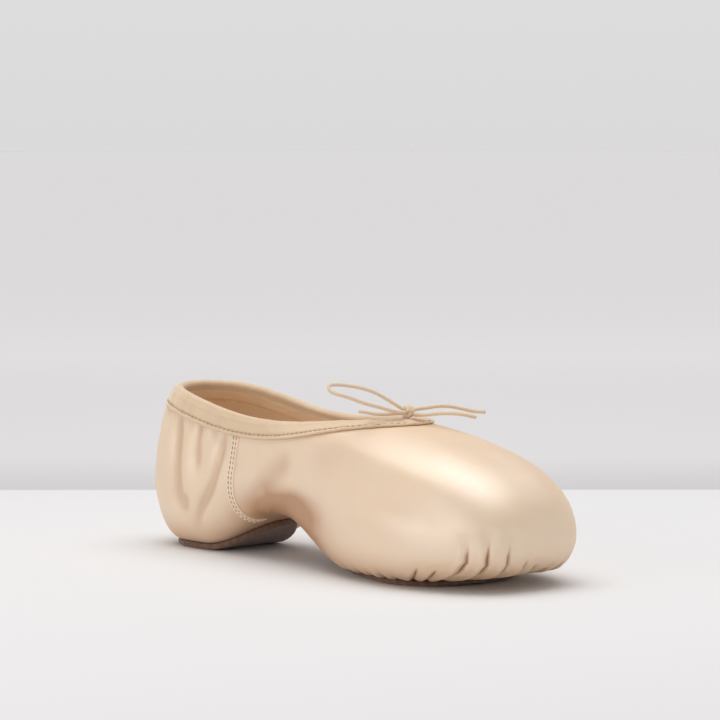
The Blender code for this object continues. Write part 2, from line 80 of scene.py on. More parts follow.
HALF_ROWS = len(RIBS) - 1
ROWS = 2 * HALF_ROWS


def ring_controls(rows):
    """The control points of the smooth closed curve that passes through the rows."""
    identity = np.eye(len(rows))
    matrix = 4 * identity + np.roll(identity, 1, axis=0) + np.roll(identity, -1, axis=0)
    return np.linalg.solve(matrix, 6 * np.asarray(rows, float))


def on_ring(rows, at):
    """The smooth closed curve through the rows, read at row numbers that may be fractions."""
    controls = ring_controls(rows)
    first = np.floor(at).astype(int)
    t = (at - first)[:, None]
    weights = ((1 - t) ** 3, 3 * t**3 - 6 * t**2 + 4, -3 * t**3 + 3 * t**2 + 3 * t + 1, t**3)
    return sum(weight * controls[(first + step - 1) % len(rows)]
               for step, weight in enumerate(weights)) / 6


def mirrored(rows, odd_columns):
    """One side's rows, followed by the other side's on the way back, to close a ring."""
    half = np.asarray(rows, float)
    back = half[-2:0:-1].copy()
    back[:, odd_columns] *= -1
    return np.concatenate([half, back])


def smooth_step(x):
    return np.sin(0.5 * math.pi * np.clip(x, 0, 1)) ** 2


def arch(x):
    """How far the underside stands off the floor, x metres from the back of the heel."""
    share = x / SHOE_LENGTH
    rising = smooth_step((share - ARCH_START) / (ARCH_PEAK - ARCH_START))
    falling = smooth_step((ARCH_END - share) / (ARCH_END - ARCH_PEAK))
    spring = smooth_step((share - TOE_SPRING_START) / (1 - TOE_SPRING_START))
    return ARCH_HEIGHT * rising * falling + TOE_SPRING * spring


def seat(x):
    """The height of the satin's underside, on the soles."""
    share = smooth_step((x - HEEL_PAD_END) / (SOLE_START - HEEL_PAD_END))
    return arch(x) + HEEL_PAD_THICKNESS + (SOLE_THICKNESS - HEEL_PAD_THICKNESS) * share + GAP


def rim_height(share):
    """The rim's height, by the share of its way from the heel to the throat."""
    dip, steepness = 0.62, 1.15
    behind = SIDE_HEIGHT + (HEEL_HEIGHT - SIDE_HEIGHT) * (1 - smooth_step(share / dip)) ** steepness
    front = SIDE_HEIGHT + (THROAT_HEIGHT - SIDE_HEIGHT) * smooth_step((share - dip) / (1 - dip))
    return np.where(share < dip, behind, front)


def rib_rows(at):
    """The ribs' points and turns at the given row numbers."""
    column = {name: i for i, name in enumerate(COLUMNS)}
    ring = mirrored(RIBS, [column[name] for name in ("rim_out", "side_out", "foot_out")])
    for name in ("side_out", "foot_out"):
        ring[:, column[name]] *= ring[:, column["width"]] / 2
    ring[:, column["side_up"]] *= ring[:, column["height"]]
    col = dict(zip(COLUMNS, on_ring(ring, at).T))
    rim_x = col["rim_along"] * (SHOE_LENGTH - VAMP_LENGTH)
    rim = np.stack([rim_x, col["rim_out"] * COLLAR_WIDTH / 2, rim_height(col["rim_along"])], axis=1)
    side = np.stack([col["side_along"] * SHOE_LENGTH, col["side_out"], col["side_up"]], axis=1)
    foot_x = col["foot_along"] * SHOE_LENGTH
    foot = np.stack([foot_x, col["foot_out"], seat(foot_x)], axis=1)
    return rim, side, foot, col


def bezier(a, b, c, d, t):
    t = t[None, :, None]
    a, b, c, d = (p[:, None, :] for p in (a, b, c, d))
    return a * (1 - t) ** 3 + 3 * b * t * (1 - t) ** 2 + 3 * c * t**2 * (1 - t) + d * t**3


def opening_edge(foot):
    """The last point of each rib: the opening's edge under a sole, or the middle under the arch."""
    spine = foot.copy()
    back, front = HEEL_PAD_SET_IN + HEEL_PAD_WIDTH / 2, SOLE_START + SOLE_LENGTH - SOLE_WIDTH / 2
    spine[:, 0] = np.clip(foot[:, 0], back, front)
    spine[:, 1] = 0
    is_open = ((foot[:, 0] < HEEL_PAD_SET_IN + HEEL_OPENING_SHARE * HEEL_PAD_LENGTH)
               | (foot[:, 0] > SOLE_START + FORE_OPENING_SHARE * SOLE_LENGTH))
    edge = spine + (foot - spine) * np.where(is_open, OPENING_SHARE, 0)[:, None]
    edge[:, 2] = seat(edge[:, 0])
    return edge


def ribs(at, upper_steps, under_steps, tuck_steps):
    """Points of the upper's outer face, indexed [rib, step, xyz], from the rim to the openings."""
    rim, side, foot, col = rib_rows(at)
    turn = side.copy()
    turn[:, 2] = rim[:, 2] - col["slope"] * (rim[:, 2] - side[:, 2])
    full, under = col["full"][:, None], col["under"][:, None]
    upper = bezier(rim, rim + full * (turn - rim), side + full * (turn - side), side,
                   np.linspace(0, 1, upper_steps + 1))
    corner = side.copy()
    corner[:, 2] = foot[:, 2]
    lower = bezier(side, side + under * (corner - side), foot + under * (corner - foot), foot,
                   np.linspace(0, 1, under_steps + 1))
    share = np.linspace(0, 1, tuck_steps + 1)[None, :, None]
    tuck = foot[:, None, :] * (1 - share) + opening_edge(foot)[:, None, :] * share
    tuck[:, :, 2] = seat(tuck[:, :, 0])
    return np.concatenate([upper, lower[:, 1:], tuck[:, 1:]], axis=1)


def wall(x):
    """The upper's wall, thin cloth behind and a stiff box in front."""
    front = smooth_step((x - (SHOE_LENGTH - 1.3 * VAMP_LENGTH)) / VAMP_LENGTH)
    return FABRIC_WALL + (BOX_WALL - FABRIC_WALL) * front


def normals_of(points, at, *steps):
    """Unit normals pointing out of the shoe, at the points of its ribs in these steps."""
    nudge = 0.004
    along = ribs(at + nudge, *steps) - ribs(at - nudge, *steps)
    normal = np.cross(along, np.gradient(points, axis=1))
    return normal / np.maximum(np.linalg.norm(normal, axis=2, keepdims=True), 1e-12)


def length_along(points):
    """The distance along each row of points, at each of them."""
    far = np.cumsum(np.linalg.norm(np.diff(points, axis=-2), axis=-1), axis=-1)
    return np.concatenate([np.zeros(far.shape[:-1] + (1,)), far], axis=-1)


# Rulers over the shoe's surface, in millimetres: from the toe's middle along the edge of the soles,
# from the heel's middle along the widest line, and from the rim down to the edge of the soles. The
# visible right side, rows 12 to 24, counts as plus.
RULER_STEPS = 24
ruler_rows = np.linspace(0, ROWS, 2401)
ruler_ribs = ribs(ruler_rows, RULER_STEPS, RULER_STEPS, 1)


def ring_length(step, zero_row):
    far = length_along(ruler_ribs[:, step]) / MM
    return far - np.interp(zero_row, ruler_rows, far)


from_toe = ring_length(2 * RULER_STEPS, HALF_ROWS)
side_from_toe = ring_length(RULER_STEPS, HALF_ROWS)
from_heel = ring_length(RULER_STEPS, 0)
from_heel = np.where(ruler_rows > HALF_ROWS, from_heel[-1] - from_heel, -from_heel)
rib_length = length_along(ruler_ribs)[:, 2 * RULER_STEPS] / MM

# The toe's pleats, drawn as creases in row numbers and millimetres up from the edge of the soles,
# with the depth of each. They run under the toe to the leather and sweep forwards up the box.
PLEATS = (
    (((16.40, -2), (16.38, 4), (16.22, 9), (16.10, 14)), 0.9),
    (((16.10, -2), (16.06, 4), (15.86, 8), (15.66, 14)), 1.0),
    (((15.85, -3), (15.80, 3), (15.50, 7.5), (15.14, 13), (14.93, 19), (14.84, 28)), 1.6),
    (((15.30, -3), (15.22, 3), (14.86, 7), (14.50, 13), (14.28, 20), (14.16, 31)), 1.8),
    (((14.60, -3), (14.50, 3), (14.02, 7), (13.66, 12.5), (13.46, 19), (13.34, 29)), 1.7),
    (((13.70, -3), (13.60, 3), (13.10, 8), (12.74, 13), (12.60, 21)), 1.9),
    (((12.60, -3), (12.52, 4), (12.20, 10), (12.05, 18)), 1.5),
    (((11.50, -1), (11.55, 6), (11.72, 11)), 0.8),
    (((10.75, -1), (10.82, 5), (11.15, 10), (11.32, 15.5)), 1.1),
    (((9.45, -3), (9.52, 3), (9.95, 7), (10.32, 13), (10.48, 19)), 1.5),
    (((8.65, -3), (8.72, 3), (9.06, 7), (9.42, 13), (9.60, 22)), 1.5),
    (((8.10, -3), (8.16, 3), (8.46, 7.5), (8.82, 13), (9.00, 21)), 1.4),
    (((7.75, -2), (7.80, 4), (8.02, 8.5), (8.20, 13.5)), 1.0),
)
# The soft grooves that run on up the box from the deepest pleats.
GROOVES = (
    (((13.46, 20), (13.36, 26), (13.25, 34)), 2.8, -0.55), (((14.20, 26), (14.10, 34)), 2.8, -0.35),
    (((9.98, 17), (10.15, 27)), 2.6, -0.45), (((9.35, 19), (9.50, 28)), 2.6, -0.35),
)
# Small tucks along the leather's edge behind the pleats: place, reach and depth.
TUCKS = (
    (46.0, 12.0, 0.6), (52.5, 15.0, 0.8), (60.0, 13.0, 0.6), (67.5, 15.0, 0.7), (76.0, 12.0, 0.5),
)
# Folds of the heel quarter and the waist, on the ruler from the heel and down from the rim: the
# line that each follows, its half width and its height, minus for a hollow.
FOLDS = (
    (((38, 9), (40, 26), (42, 44)), 4.0, 0.45),
    (((43, 2), (46, 24), (50, 52)), 3.6, -1.30),
    (((50, 6), (53, 26), (57, 44)), 3.0, 0.75),
    (((58, 0), (59, 14), (60, 30)), 3.0, -1.05),
    (((78, 0), (74, 18), (68, 33), (60, 45), (55, 55)), 2.3, -1.45),
    (((70, 12), (67, 24), (60, 36)), 2.8, 0.65),
    (((55, 37), (49, 48)), 2.2, -0.80),
    (((82, 9), (80, 26)), 2.6, -0.45),
    (((90, 34), (101, 26), (113, 20), (126, 15)), 5.6, -0.80),
    (((96, 46), (97, 36), (100, 26)), 2.8, 0.95),
    (((104, 46), (110, 38), (122, 35), (140, 42), (154, 52)), 5.0, -1.25),
    (((132, 16), (150, 24), (168, 34), (184, 45), (200, 57), (212, 69), (222, 80), (229, 90)),
     8.5, -1.50),
    (((160, 42), (180, 56), (205, 75)), 7.0, 0.45),
)
# Folds of the hidden left side, which differ a little, as one shoe's two sides do.
LEFT_FOLDS = (
    (((-44, 9), (-45, 26), (-48, 42)), 3.6, -1.20),
    (((-54, 9), (-55, 28)), 3.2, 0.55),
    (((-74, 8), (-71, 22), (-62, 38), (-54, 47)), 2.4, -1.15),
    (((-66, 12), (-62, 30)), 3.0, 0.55),
    (((-82, 9), (-80, 22)), 2.8, -0.50),
    (((-97, 10), (-108, 18), (-121, 24)), 4.8, -0.95),
    (((-103, 42), (-118, 36), (-138, 42)), 5.0, -0.75),
    (((-135, 18), (-153, 27), (-171, 37), (-187, 48), (-202, 61), (-214, 73), (-224, 83)),
     8.5, -1.30),
)


def smooth_route(points, spacing):
    """Evenly spaced points on a smooth curve through the given ones."""
    points = np.asarray(points, float)
    ends = np.vstack([2 * points[0] - points[1], points, 2 * points[-1] - points[-2]])
    t = np.linspace(0, 1, 16, endpoint=False)[:, None]
    pieces = []
    for a, b, c, d in zip(ends, ends[1:], ends[2:], ends[3:]):
        bend = (2 * a - 5 * b + 4 * c - d) * t**2 + (3 * b - a - 3 * c + d) * t**3
        pieces.append((2 * b + (c - a) * t + bend) / 2)
    curve = np.vstack(pieces + [points[-1:]])
    far = length_along(curve)
    even = np.linspace(0, far[-1], int(round(far[-1] / spacing)) + 1)
    return np.column_stack([np.interp(even, far, curve[:, axis]) for axis in range(curve.shape[1])])


def near_line(a, b, line):
    """Distance to a line of points, how far along it the nearest place lies, from 0 to 1, and the
    side of it, 1 or -1."""
    best, where, side = np.full(np.shape(a), 1e9), np.zeros(np.shape(a)), np.ones(np.shape(a))
    count = len(line) - 1
    for i, ((ax, bx), (ay, by)) in enumerate(zip(line, line[1:])):
        da, db = ay - ax, by - bx
        t = np.clip(((a - ax) * da + (b - bx) * db) / (da * da + db * db), 0, 1)
        far = np.hypot(a - ax - t * da, b - bx - t * db)
        nearer = far < best
        where = np.where(nearer, (i + t) / count, where)
        side = np.where(nearer, np.sign(db * (a - ax) - da * (b - bx)), side)
        best = np.minimum(best, far)
    return best, where, side


def across_box(at, up):
    """Millimetres round the box from its middle, at a row and a height over the soles' edge."""
    widest_up = 19
    low, high = np.interp(at, ruler_rows, from_toe), np.interp(at, ruler_rows, side_from_toe)
    return low + (high - low) * np.clip(up / widest_up, 0, 1)


def bell(distance, width, power=2):
    """1 in the middle of a line, and falling to nothing some widths away from it."""
    return np.exp(-(np.abs(distance) / width) ** power)


# A pleat's half widths in millimetres: the fold, its line of painted shade and the valley round it.
# Its lip on the heel's side swells by a share of its depth.
FOLD_WIDTH, SHADE_LINE_WIDTH, VALLEY_WIDTH = 0.62, 0.50, 3.4
LIP_SHARE, LIP_AWAY, LIP_WIDTH = 0.42, 2.0, 1.4


def relief(at, down):
    """How far the cloth stands out from the smooth form, in mm, and how much painted shade darkens
    its creases.
    at is the row number and down the distance from the rim in mm."""
    at = np.broadcast_to(np.mod(at, ROWS), np.shape(down))
    toe, heel = np.interp(at, ruler_rows, from_toe), np.interp(at, ruler_rows, from_heel)
    up = np.interp(at, ruler_rows, rib_length) - down
    out, crease = np.zeros(up.shape), np.zeros(up.shape)
    under = smooth_step((up + 7) / 5)
    across = across_box(at, up)
    for line, depth in PLEATS:
        line = smooth_route([(across_box(row, height), height) for row, height in line], 2.2)
        far, where, side = near_line(across, up, line)
        heelward = far * side * math.copysign(1, line[0][0])
        sharp = smooth_step((1.001 - where) / 0.28) * under
        valley = bell(far, VALLEY_WIDTH) * under * (1 - smooth_step((up - line[-1][1]) / 6))
        out -= depth * sharp * bell(far, FOLD_WIDTH, 1.35)
        out += LIP_SHARE * depth * (sharp * bell(heelward - LIP_AWAY, LIP_WIDTH) - valley)
        # Painted shade: a dark line along each pleat's fold.
        crease = np.maximum(crease, sharp * bell(far, SHADE_LINE_WIDTH, 1.6))
    for line, width, height in GROOVES:
        line = smooth_route([(across_box(row, place), place) for row, place in line], 3.0)
        far, where, _ = near_line(across, up, line)
        out += height * bell(far, width) * smooth_step(np.minimum(where, 1 - where) / 0.4 + 0.3)
    for side in (1, -1):
        for start, reach, depth in TUCKS:
            past = toe * side - start
            fade = (1 - smooth_step(up / reach)) * under
            out += depth * fade * (0.6 * bell(past - 3.3, 2.2) - bell(past, 1.5))
            # Painted shade: a dark line in each tuck.
            crease = np.maximum(crease, 0.45 * fade * bell(past, 0.8))
    fading = smooth_step((down - 1) / 8) * smooth_step((up - 1) / 9)
    for line, width, height in FOLDS + LEFT_FOLDS:
        far, where, _ = near_line(heel, down, smooth_route(line, 5.0))
        ends = smooth_step(np.minimum(where, 1 - where) / 0.34 + 0.04)
        out += height * bell(far, width) * fading * ends
    # Puckers under the binding and slack all over, both in the heel's quarters only.
    puckers = 0.20 * np.sin(heel / 1.7 + 1.8 * np.sin(heel / 9)) * bell(down - 10, 4.0)
    slack = 0.12 * np.sin(heel / 3.1 + down / 9) + 0.10 * np.sin(heel / 5.3 - down / 4.1)
    out += puckers * smooth_step((112 - np.abs(heel)) / 30)
    return out + slack * fading * smooth_step((110 - np.abs(heel)) / 30), crease


def place_on(at, down, offset, with_folds=True):
    """Points on the shoe at row numbers and distances from the rim, moved out by offset, in metres.
    All are indexed [rib, step]. A minus distance runs on above the rim."""
    steps = (64, 64, 1)
    fine = ribs(at, *steps)
    normal, length = normals_of(fine, at, *steps), length_along(fine)
    down = np.broadcast_to(down, (len(at), np.shape(down)[-1]))
    offset = np.broadcast_to(offset, down.shape)
    if with_folds:
        offset = offset + relief(at[:, None], np.maximum(down, 0) / MM)[0] * MM
    points = np.empty(down.shape + (3,))
    for i, (far, out) in enumerate(zip(down, offset)):
        start = (fine[i, 1] - fine[i, 0]) / length[i, 1]
        for axis in range(3):
            place = np.interp(far, length[i], fine[i, :, axis]) + np.minimum(far, 0) * start[axis]
            points[i, :, axis] = place + out * np.interp(far, length[i], normal[i, :, axis])
    return points - MIDDLE


def spread_rows(toe_spacing, heel_spacing):
    """Row numbers once round the shoe, closer together at the pleats, the same on both sides."""
    half = ruler_rows <= HALF_ROWS
    rows, far = ruler_rows[half], -from_heel[half]
    closer = smooth_step((rows - 5.6) / 1.6)  # from the box's side to its corner
    spacing = heel_spacing + (toe_spacing - heel_spacing) * closer
    count = np.append(0, np.cumsum(np.diff(far) / spacing[1:]))
    one_side = np.interp(np.linspace(0, count[-1], int(count[-1]) + 1), count, rows)
    return np.append(one_side, ROWS - one_side[-2:0:-1])


def grid_faces(rows, steps, wrap_rows=False, wrap_steps=False, start=0):
    """The quads of a grid of points that is listed row after row."""
    i, j = np.meshgrid(np.arange(rows if wrap_rows else rows - 1),
                       np.arange(steps if wrap_steps else steps - 1), indexing="ij")
    i, j = i.ravel(), j.ravel()
    k, m = (i + 1) % rows, (j + 1) % steps
    quads = np.stack([i * steps + j, i * steps + m, k * steps + m, k * steps + j], axis=1)
    return (quads + start).tolist()


def tube_faces(rows, steps, start=0):
    """The faces of a tube made of rings of points, closed at both ends."""
    ends = (range(steps), reversed(range((rows - 1) * steps, rows * steps)))
    return (grid_faces(rows, steps, wrap_steps=True, start=start)
            + [[start + k for k in end] for end in ends])


def add_piece(name, points, faces, materials, replaced=(), sides=None, shown=(),
              slivers=False):
    """Adds a smooth welded mesh as a piece that rides on the shoe's one body. sides gives each
    face's material by number, shown the named values at the points that a material reads, and
    slivers keeps faces too thin to have an area."""
    mesh = bpy.data.meshes.new(name)
    mesh.from_pydata(np.asarray(points).reshape(-1, 3).tolist(), [], faces)
    for material in materials:
        mesh.materials.append(material)
    if sides is not None:
        mesh.polygons.foreach_set("material_index", sides)
    mesh.polygons.foreach_set("use_smooth", [True] * len(mesh.polygons))
    for key, values in shown:
        mesh.attributes.new(key, "FLOAT", "POINT").data.foreach_set("value", values)
    made = bmesh.new()
    made.from_mesh(mesh)
    bmesh.ops.remove_doubles(made, verts=made.verts, dist=0.000002)
    if not slivers:
        bmesh.ops.dissolve_degenerate(made, edges=made.edges, dist=0.0000005)
    bmesh.ops.recalc_face_normals(made, faces=made.faces)
    made.to_mesh(mesh)
    made.free()
    piece = bpy.data.objects.new(name, mesh)
    bpy.context.scene.collection.objects.link(piece)
    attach(piece, "root")
    if replaced:
        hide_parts(*replaced)
    return piece


class Shade:
    """An output socket of a shader node. Arithmetic adds Math nodes, and node() adds any other."""

    def __init__(self, socket):
        self.socket = socket

    def node(self, kind, settings=None, values=None, output=0):
        tree = self.socket.id_data
        made = tree.nodes.new("ShaderNode" + kind)
        for key, value in (settings or {}).items():
            if key == "stops":
                ramp = made.color_ramp
                while len(ramp.elements) < len(value):
                    ramp.elements.new(0.5)
                for element, (position, colour) in zip(ramp.elements, value):
                    element.position = position
                    element.color = (*colour, 1)
            else:
                setattr(made, key, value)
        for key, value in (values or {}).items():
            if isinstance(value, Shade):
                tree.links.new(value.socket, made.inputs[key])
            elif isinstance(value, tuple) and len(value) == 3 and made.inputs[key].type == "RGBA":
                made.inputs[key].default_value = (*value, 1)
            else:
                made.inputs[key].default_value = value
        return Shade(made.outputs[output])

    def math(self, operation, first, second):
        return self.node("Math", {"operation": operation}, {0: first, 1: second})

    def __add__(self, other):
        return self.math("ADD", self, other)

    def __sub__(self, other):
        return self.math("SUBTRACT", self, other)

    def __rsub__(self, other):
        return self.math("SUBTRACT", other, self)

    def __mul__(self, other):
        return self.math("MULTIPLY", self, other)

    __radd__, __rmul__ = __add__, __mul__

    def stretch(self, low, high):
        """0 up to low, 1 from high on, and evenly between them."""
        return self.node("MapRange", {"clamp": True},
                         {"Value": self, "From Min": low, "From Max": high})

    def tint(self, plain, coloured):
        """Plain where this value is 0 and coloured where it is 1."""
        return self.node("Mix", {"data_type": "RGBA"}, {0: self, 6: plain, 7: coloured}, 2)

    def noise(self, scale, detail, roughness=0.5):
        """Noise over this place, between 0 and 1."""
        return self.node("TexNoise", {}, {"Vector": self, "Scale": scale, "Detail": detail,
                                          "Roughness": roughness})

    def bands(self, direction, scale, distortion=0.0, detail=2.0, detail_scale=1.0):
        """Even bands over this place, as threads make them, between 0 and 1."""
        return self.node("TexWave", {"bands_direction": direction}, {
            "Vector": self, "Scale": scale, "Distortion": distortion, "Detail": detail,
            "Detail Scale": detail_scale}, 1)

    def scaled(self, x, y, z, turn=(0.0, 0.0, 0.0)):
        """This place, turned and then stretched along its axes."""
        return self.node("Mapping", {}, {"Vector": self, "Rotation": turn, "Scale": (x, y, z)})

    def bump(self, strength, distance, below=None):
        values = {"Height": self, "Strength": strength, "Distance": distance}
        if below is not None:
            values["Normal"] = below
        return self.node("Bump", {}, values)


def finish(name, constants):
    """A new material with constants set on its shader, its object coordinates and the shader."""
    made = bpy.data.materials.new(name)
    made.use_nodes = True
    shader = made.node_tree.nodes["Principled BSDF"]
    for key, value in constants.items():
        shader.inputs[key].default_value = value
    place = Shade(made.node_tree.nodes.new("ShaderNodeTexCoord").outputs["Object"])
    return made, place, shader


def feed(shader, key, value):
    shader.id_data.links.new(value.socket, shader.inputs[key])


def toned(colour, share):
    """A colour made darker or paler."""
    return tuple(min(share * part, 1) for part in colour)


SATIN, SATIN_GOLDEN, SATIN_PINK = (0.82, 0.600, 0.375), (0.79, 0.54, 0.29), (0.77, 0.53, 0.385)
SATIN_SHADE_WARM, CREASE_SHADE_BROWN = (0.43, 0.175, 0.032), (0.30, 0.110, 0.032)
THREAD_SHADE = (0.60, 0.40, 0.25)


def satin_finish(name):
    """Peach satin: a long shine, a fine slanting twill, and painted shade, darker and warmer, in
    its folds, hollows and creases.
    """
    made, place, shader = finish(name, {
        "Sheen Weight": 0.10, "Sheen Roughness": 0.45, "Sheen Tint": (1.0, 0.93, 0.86, 1),
        "Specular IOR Level": 1.0, "IOR": 2.1})
    crease, hollow = (place.node("Attribute", {"attribute_name": key}, output=2)
                      for key in ("crease", "hollow"))
    patches = place.scaled(1, 1, 0.6).noise(42, 2).stretch(0.42, 0.66)
    mottle = place.noise(160, 3).stretch(0.3, 0.7)
    twill = place.scaled(1, 0.6, -1).bands("DIAGONAL", 800, 1.5, 2.0, 3.0)
    thread = place.scaled(1, 1, 6, (0.5, 0.2, 0)).noise(1500, 2)
    golden = place.scaled(0.8, 1, 1.4).noise(33, 2).stretch(0.45, 0.7)
    colour = (patches * 0.35).tint((golden * 0.5).tint(SATIN, SATIN_GOLDEN), SATIN_PINK)
    colour = (mottle * 0.10).tint(colour, (0.86, 0.66, 0.48))
    colour = (twill * 0.05).tint(colour, THREAD_SHADE)
    # Painted shade: darker, warmer satin in hollows, folds and next to the soles.
    colour = (hollow * 0.95).tint(colour, SATIN_SHADE_WARM)
    # Painted shade: brown lines along the creases of the pleats and tucks.
    feed(shader, "Base Color", crease.stretch(0.05, 0.9).tint(colour, CREASE_SHADE_BROWN))
    feed(shader, "Roughness", 0.39 + 0.08 * thread + 0.05 * mottle + 0.3 * crease)
    # Painted shade in the shine: where shade is painted in hollows and creases, the shine turns
    # partly metallic and takes the painted colour, so it reflects darker and warmer there.
    feed(shader, "Metallic", 0.30 * hollow + 0.15 * crease)
    weave = (twill * 0.6 + thread * 0.4).bump(0.25, 0.00012)
    feed(shader, "Normal", mottle.bump(0.12, 0.0004, weave))
    return made


def canvas_finish(name, colour):
    """Plain-woven cotton, a little worn."""
    made, place, shader = finish(name, {"Sheen Weight": 0.15, "Specular IOR Level": 0.3})
    across = place.bands("X", 260, 0.6)
    down = place.scaled(1, 1, 1, (0.7, 0, 0)).bands("Z", 260, 0.6)
    worn = place.noise(60, 4).stretch(0.3, 0.7)
    base = (worn * 0.35).tint(colour, toned(colour, 0.72))
    feed(shader, "Base Color", (across * down * 0.30).tint(base, toned(colour, 1.25)))
    feed(shader, "Roughness", 0.82 + 0.12 * worn)
    feed(shader, "Normal", (across * down + place.noise(900, 2) * 0.5).bump(0.35, 0.0002))
    return made


# The outer face, with its folds, and the lining inside it, joined along the rim and the openings.
UPPER_STEPS, UNDER_STEPS, TUCK_STEPS = STEPS = (52, 46, 7)
FOOT_STEP = UPPER_STEPS + UNDER_STEPS
at = spread_rows(0.50, 1.45)
outer = ribs(at, *STEPS)
outer[[0, int(np.argmin(np.abs(at - HALF_ROWS)))], :, 1] = 0
outer_normal = normals_of(outer, at, *STEPS)
stands_out, crease = relief(at[:, None], length_along(outer) / MM)
rib_count, step_count = outer.shape[:2]
stands_out = stands_out * smooth_step(1 - (np.arange(step_count) - FOOT_STEP) / 3)
folded = outer + outer_normal * (stands_out * MM)[:, :, None]
inner_steps = np.unique([*range(0, FOOT_STEP, 3), FOOT_STEP, step_count - 1])
inner_count = len(inner_steps)
inner = outer[:, inner_steps]
inner = inner - outer_normal[:, inner_steps] * wall(inner[:, :, 0])[:, :, None]

outer_faces = grid_faces(rib_count, step_count, wrap_rows=True)
inner_start = rib_count * step_count
inner_faces = grid_faces(rib_count, inner_count, wrap_rows=True, start=inner_start)
here = np.arange(rib_count)
there = (here + 1) % rib_count
edges = []
for outer_step, inner_step in ((0, 0), (step_count - 1, inner_count - 1)):
    outside, inside = here * step_count + outer_step, inner_start + here * inner_count + inner_step
    edges += np.stack([outside, outside[there], inside[there], inside], axis=1).tolist()

# The satin's painted shade: darker and warmer low in the waist's hollows, in the heel's folds and
# next to the soles, where shade falls.
WAIST_PLACE, WAIST_REACH, SHADE_REACH, FOLDS_END, FOLDS_FADE = 0.100, 0.026, 0.014, 0.140, 0.035
forward, height = outer[:, :, 0], outer[:, :, 2]
waist = bell(forward - WAIST_PLACE, WAIST_REACH)
low = smooth_step((height[:, [UPPER_STEPS]] + 0.006 - height) / SHADE_REACH)
near_sole = smooth_step((SHADE_REACH - (height - height[:, [FOOT_STEP]])) / SHADE_REACH)
in_fold = np.clip(-stands_out - 0.1, 0, 0.8) * smooth_step((FOLDS_END - forward) / FOLDS_FADE)
hollow = np.clip(1.5 * waist * low + 0.55 * in_fold + 0.40 * near_sole, 0, 1)

satin = satin_finish("satin")
lining = canvas_finish("lining canvas", (0.90, 0.67, 0.45))
add_piece("upper_satin", np.concatenate([folded.reshape(-1, 3), inner.reshape(-1, 3)]) - MIDDLE,
          outer_faces + inner_faces + edges, (satin, lining), ("upper",),
          sides=[0] * len(outer_faces) + [1] * len(inner_faces) + [0] * len(edges),
          shown=[(key, np.append(values, np.zeros(inner.shape[:2])).astype(np.float32))
                 for key, values in (("crease", crease), ("hollow", hollow))], slivers=True)

# ---- Side seams ----------------------------------------------------------------------------------
# A raised seam on each side, where the heel quarter joins the vamp: both edges are turned under and
# stitched down in two rows, from the binding to the front of the heel pad.
BINDING_WIDTH, BINDING_THICKNESS = 0.0085, 0.0008
SEAM_WIDTH, SEAM_THICKNESS, SEAM_SINK, SEAM_STEPS = 0.0042, 0.0005, 0.00015, 120
SEAM_TOP_ROW, SEAM_FOOT_ROW, SEAM_BOW_ROWS = 3.50, 3.58, 0.13
STITCH_ROWS_APART, SEAM_STITCH, SEAM_STITCH_SPACING = 0.0016, 0.0011, 0.0019
# Across the seam, from -1 to 1 of its half width, and how proud it stands there, back and front.
SEAM_SECTION = [(across, SEAM_THICKNESS * proud - SEAM_SINK * (proud == 0)) for across, proud in (
    (-1.0, 0.0), (-0.93, 0.62), (-0.80, 0.95), (-0.56, 1.0), (-0.42, 0.70), (-0.36, 0.52),
    (-0.30, 0.72), (-0.16, 1.0), (0.0, 1.06), (0.16, 1.0), (0.30, 0.72), (0.36, 0.52),
    (0.42, 0.70), (0.56, 1.0), (0.80, 0.95), (0.93, 0.62), (1.0, 0.0))]
SEAM_SECTION += [(0.8, -SEAM_THICKNESS), (-0.8, -SEAM_THICKNESS)]


def seam_line(side, share):
    """The seam's row numbers, its distances from the rim, and rows per metre across it."""
    steps, row_step = (48, 48, 1), 0.05
    bow = SEAM_BOW_ROWS * np.sin(math.pi * share)
    row = SEAM_TOP_ROW + (SEAM_FOOT_ROW - SEAM_TOP_ROW) * share - bow
    if side < 0:
        row = ROWS - row
    fine = ribs(row, *steps)
    spread = np.linalg.norm(ribs(row + row_step, *steps) - fine, axis=2) / row_step
    whole = length_along(fine)[:, -2]
    top = BINDING_WIDTH + GAP
    places = np.linspace(0, 1, spread.shape[1])
    per_row = np.array([np.interp(s, places, r) for s, r in zip(share, spread)])
    return row, top + (whole - top) * share, 1 / per_row


def each_place(rows, downs, offset, with_folds=True):
    """Points for single places, each with a row and a distance from the rim, moved out alike."""
    return place_on(rows, np.broadcast_to(downs, rows.shape)[:, None], offset, with_folds)[:, 0]


def stitch_ends(rows, downs, low, high, with_folds=True):
    """Where each stitch starts, where it ends and which way is up, from its places in pairs."""
    low, high = (each_place(rows, downs, offset, with_folds) for offset in (low, high))
    return list(zip(low[0::2], low[1::2], (high - low)[0::2]))


def circle(centre, up, sideways, radius, count):
    angle = 2 * math.pi * np.arange(count)[:, None] / count
    return list(centre + (up * np.sin(angle) + sideways * np.cos(angle)) * radius)


def stitches(name, ends, radius, thread):
    """Short rounded threads, each from a start to an end and humped a little in its middle."""
    around, along, hump = 6, 5, 0.25
    points, faces = [], []
    for start, end, up in ends:
        forward = end - start
        length = np.linalg.norm(forward)
        forward = forward / length
        up = up - forward * np.dot(up, forward)
        up /= np.linalg.norm(up)
        faces += tube_faces(along, around, len(points))
        for share in np.linspace(0, 1, along):
            swell = radius * (0.45 + 0.55 * math.sin(math.pi * (0.12 + 0.76 * share)))
            centre = (start + forward * length * share
                      + up * radius * hump * math.sin(math.pi * share))
            points += circle(centre, up, np.cross(forward, up), swell, around)
    return add_piece(name, points, faces, (thread,))


